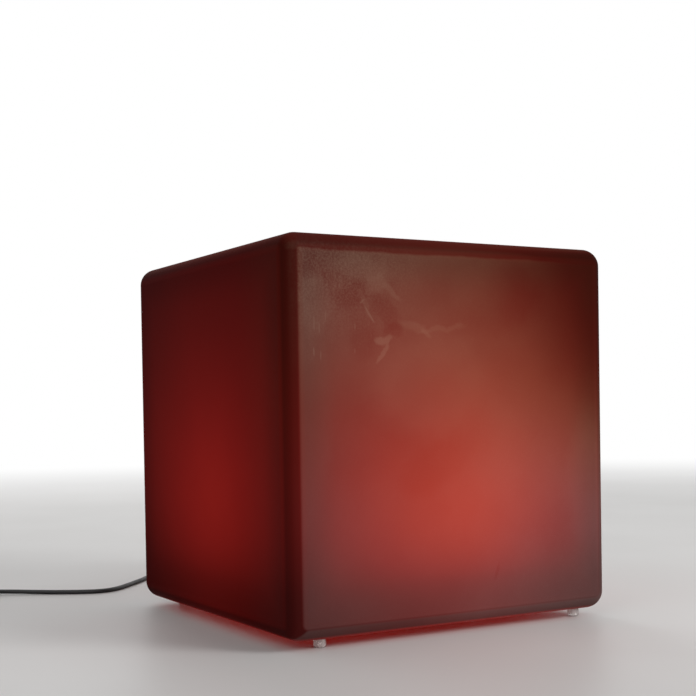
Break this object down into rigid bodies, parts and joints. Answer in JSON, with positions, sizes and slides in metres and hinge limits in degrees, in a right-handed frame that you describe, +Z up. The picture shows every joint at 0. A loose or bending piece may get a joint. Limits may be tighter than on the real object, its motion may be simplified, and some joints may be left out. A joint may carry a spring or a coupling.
{
  "type": "led cube light",
  "caption": "Glowing moulded cube light on small stick-on feet, with a sealed light unit in its floor, a button underneath and a mains cord.",
  "frame": {"origin": "on the ground, under the middle of the cube", "axes": "+Z up; -Y is the front face, which the picture shows widest; -X is the face to its left; the cord leaves at the back (+Y) and runs off to the left"},
  "size_m": [0.7341, 0.6952, 0.44],
  "materials": {
    "shell": "satin moulded polyethylene, milky and lit red from inside",
    "foot_rubber": "clear soft bumper, slightly milky",
    "adhesive": "foam adhesive",
    "housing_plastic": "fine moulded texture",
    "gasket_rubber": "matt",
    "screw_steel": "bright stainless",
    "insert_brass": "turned",
    "sink_aluminium": "plain milled",
    "light_board_white": "white solder mask",
    "chip_yellow": "clear resin over white frame",
    "dome_opal": "opal satin",
    "board_green": "green solder mask",
    "core_ferrite": "dark ground ferrite",
    "winding_tape": "yellow polyester tape",
    "capacitor_sleeve": "dark sleeve",
    "terminal_plastic": "moulded",
    "chip_black": "moulded epoxy",
    "button_rubber": "satin",
    "plunger_plastic": "moulded",
    "gland_plastic": "moulded nylon",
    "boot_rubber": "satin",
    "cord_jacket": "satin black",
    "tie_strap": "hook and loop strap",
    "wire_jacket": "smooth jacket",
    "plug_plastic": "moulded, fine texture",
    "pin_metal": "nickel plated"
  },
  "bodies": {
    "lamp": {"base_housing": "housing_plastic", "base_lid": "housing_plastic", "button_switch": "housing_plastic", "cable_gland": "gland_plastic", "controller_board": "board_green", "controller_board_screws": "screw_steel", "controller_chips": "chip_black", "cord": "cord_jacket", "cord_boot": "boot_rubber", "cord_coil": "cord_jacket", "cord_inner_end": "cord_jacket", "cord_tail": "cord_jacket", "cord_tie": "tie_strap", "cube_shell": "shell", "diffuser_dome": "dome_opal", "dome_gasket": "gasket_rubber", "dome_screws": "screw_steel", "driver_board": "board_green", "driver_board_screws": "screw_steel", "driver_capacitors": "capacitor_sleeve", "foot_pads": "adhesive", "front_left_foot": "foot_rubber", "front_right_foot": "foot_rubber", "gland_locknut": "gland_plastic", "gland_nut": "gland_plastic", "gland_seal": "gasket_rubber", "heat_sink": "sink_aluminium", "heat_sink_screws": "screw_steel", "lid_gasket": "gasket_rubber", "lid_screws": "screw_steel", "light_board": "light_board_white", "light_board_screws": "screw_steel", "light_chips": "chip_yellow", "light_wires": "wire_jacket", "plug": "plug_plastic", "plug_pins": "pin_metal", "rear_left_foot": "foot_rubber", "rear_right_foot": "foot_rubber", "rim_gasket": "gasket_rubber", "rim_inserts": "insert_brass", "rim_screws": "screw_steel", "supply_leads": "wire_jacket", "terminal_block": "terminal_plastic", "transformer_core": "core_ferrite", "transformer_winding": "winding_tape", "vent_plug": "housing_plastic"},
    "button": {"mode_button": "button_rubber", "button_seal": "gasket_rubber", "switch_plunger": "plunger_plastic"}
  },
  "joints": [
    {"name": "button_press", "type": "slide", "parent": "lamp", "child": "button", "axis": [0, 0, 1], "range_m": [0, 0.0015], "stiffness_N_per_m": 1000, "springref_m": -0.001}
  ]
}
